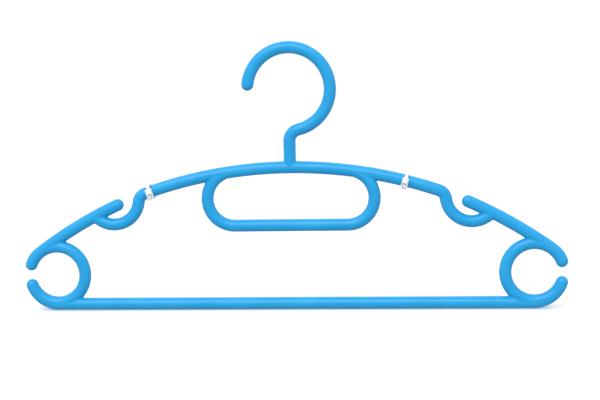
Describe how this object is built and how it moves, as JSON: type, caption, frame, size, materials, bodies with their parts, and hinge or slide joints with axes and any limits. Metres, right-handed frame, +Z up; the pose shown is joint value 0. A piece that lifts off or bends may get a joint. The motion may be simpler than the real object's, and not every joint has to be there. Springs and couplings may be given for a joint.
{
  "type": "clothes hanger",
  "caption": "Moulded plastic clothes hanger with a fixed hook, arched shoulders, strap notches, an accessory loop, open end rings, a trouser bar and cable ties on the shoulder bar.",
  "frame": {"origin": "the hook's inner apex, the line that rests on the rail", "axes": "+X to the right along the trouser bar, +Y to the back across the flat of the hanger, +Z up along the neck"},
  "size_m": [0.4, 0.0162, 0.1962],
  "materials": {
    "hanger_plastic": "semi-gloss injection-moulded polypropylene, sky blue",
    "tie_nylon": "natural white nylon, satin"
  },
  "bodies": {
    "hanger": {"hook": "hanger_plastic", "shoulder_bar": "hanger_plastic", "accessory_loop": "hanger_plastic", "trouser_bar": "hanger_plastic", "left_strap_notch": "hanger_plastic", "right_strap_notch": "hanger_plastic", "left_arm": "hanger_plastic", "right_arm": "hanger_plastic", "left_end_ring": "hanger_plastic", "right_end_ring": "hanger_plastic"},
    "left_tie": {"left_tie_strap": "tie_nylon", "left_tie_head": "tie_nylon", "left_tie_pawl": "tie_nylon"},
    "right_tie": {"right_tie_strap": "tie_nylon", "right_tie_head": "tie_nylon", "right_tie_pawl": "tie_nylon"}
  },
  "joints": [
    {"name": "left_tie_slide", "type": "hinge", "parent": "hanger", "child": "left_tie", "pos_m": [0, 0, -0.4129], "axis": [0, 1, 0], "range_deg": [-0.3, 6.7]},
    {"name": "right_tie_slide", "type": "hinge", "parent": "hanger", "child": "right_tie", "pos_m": [0, 0, -0.4129], "axis": [0, 1, 0], "range_deg": [-3.15, 3.85]}
  ]
}
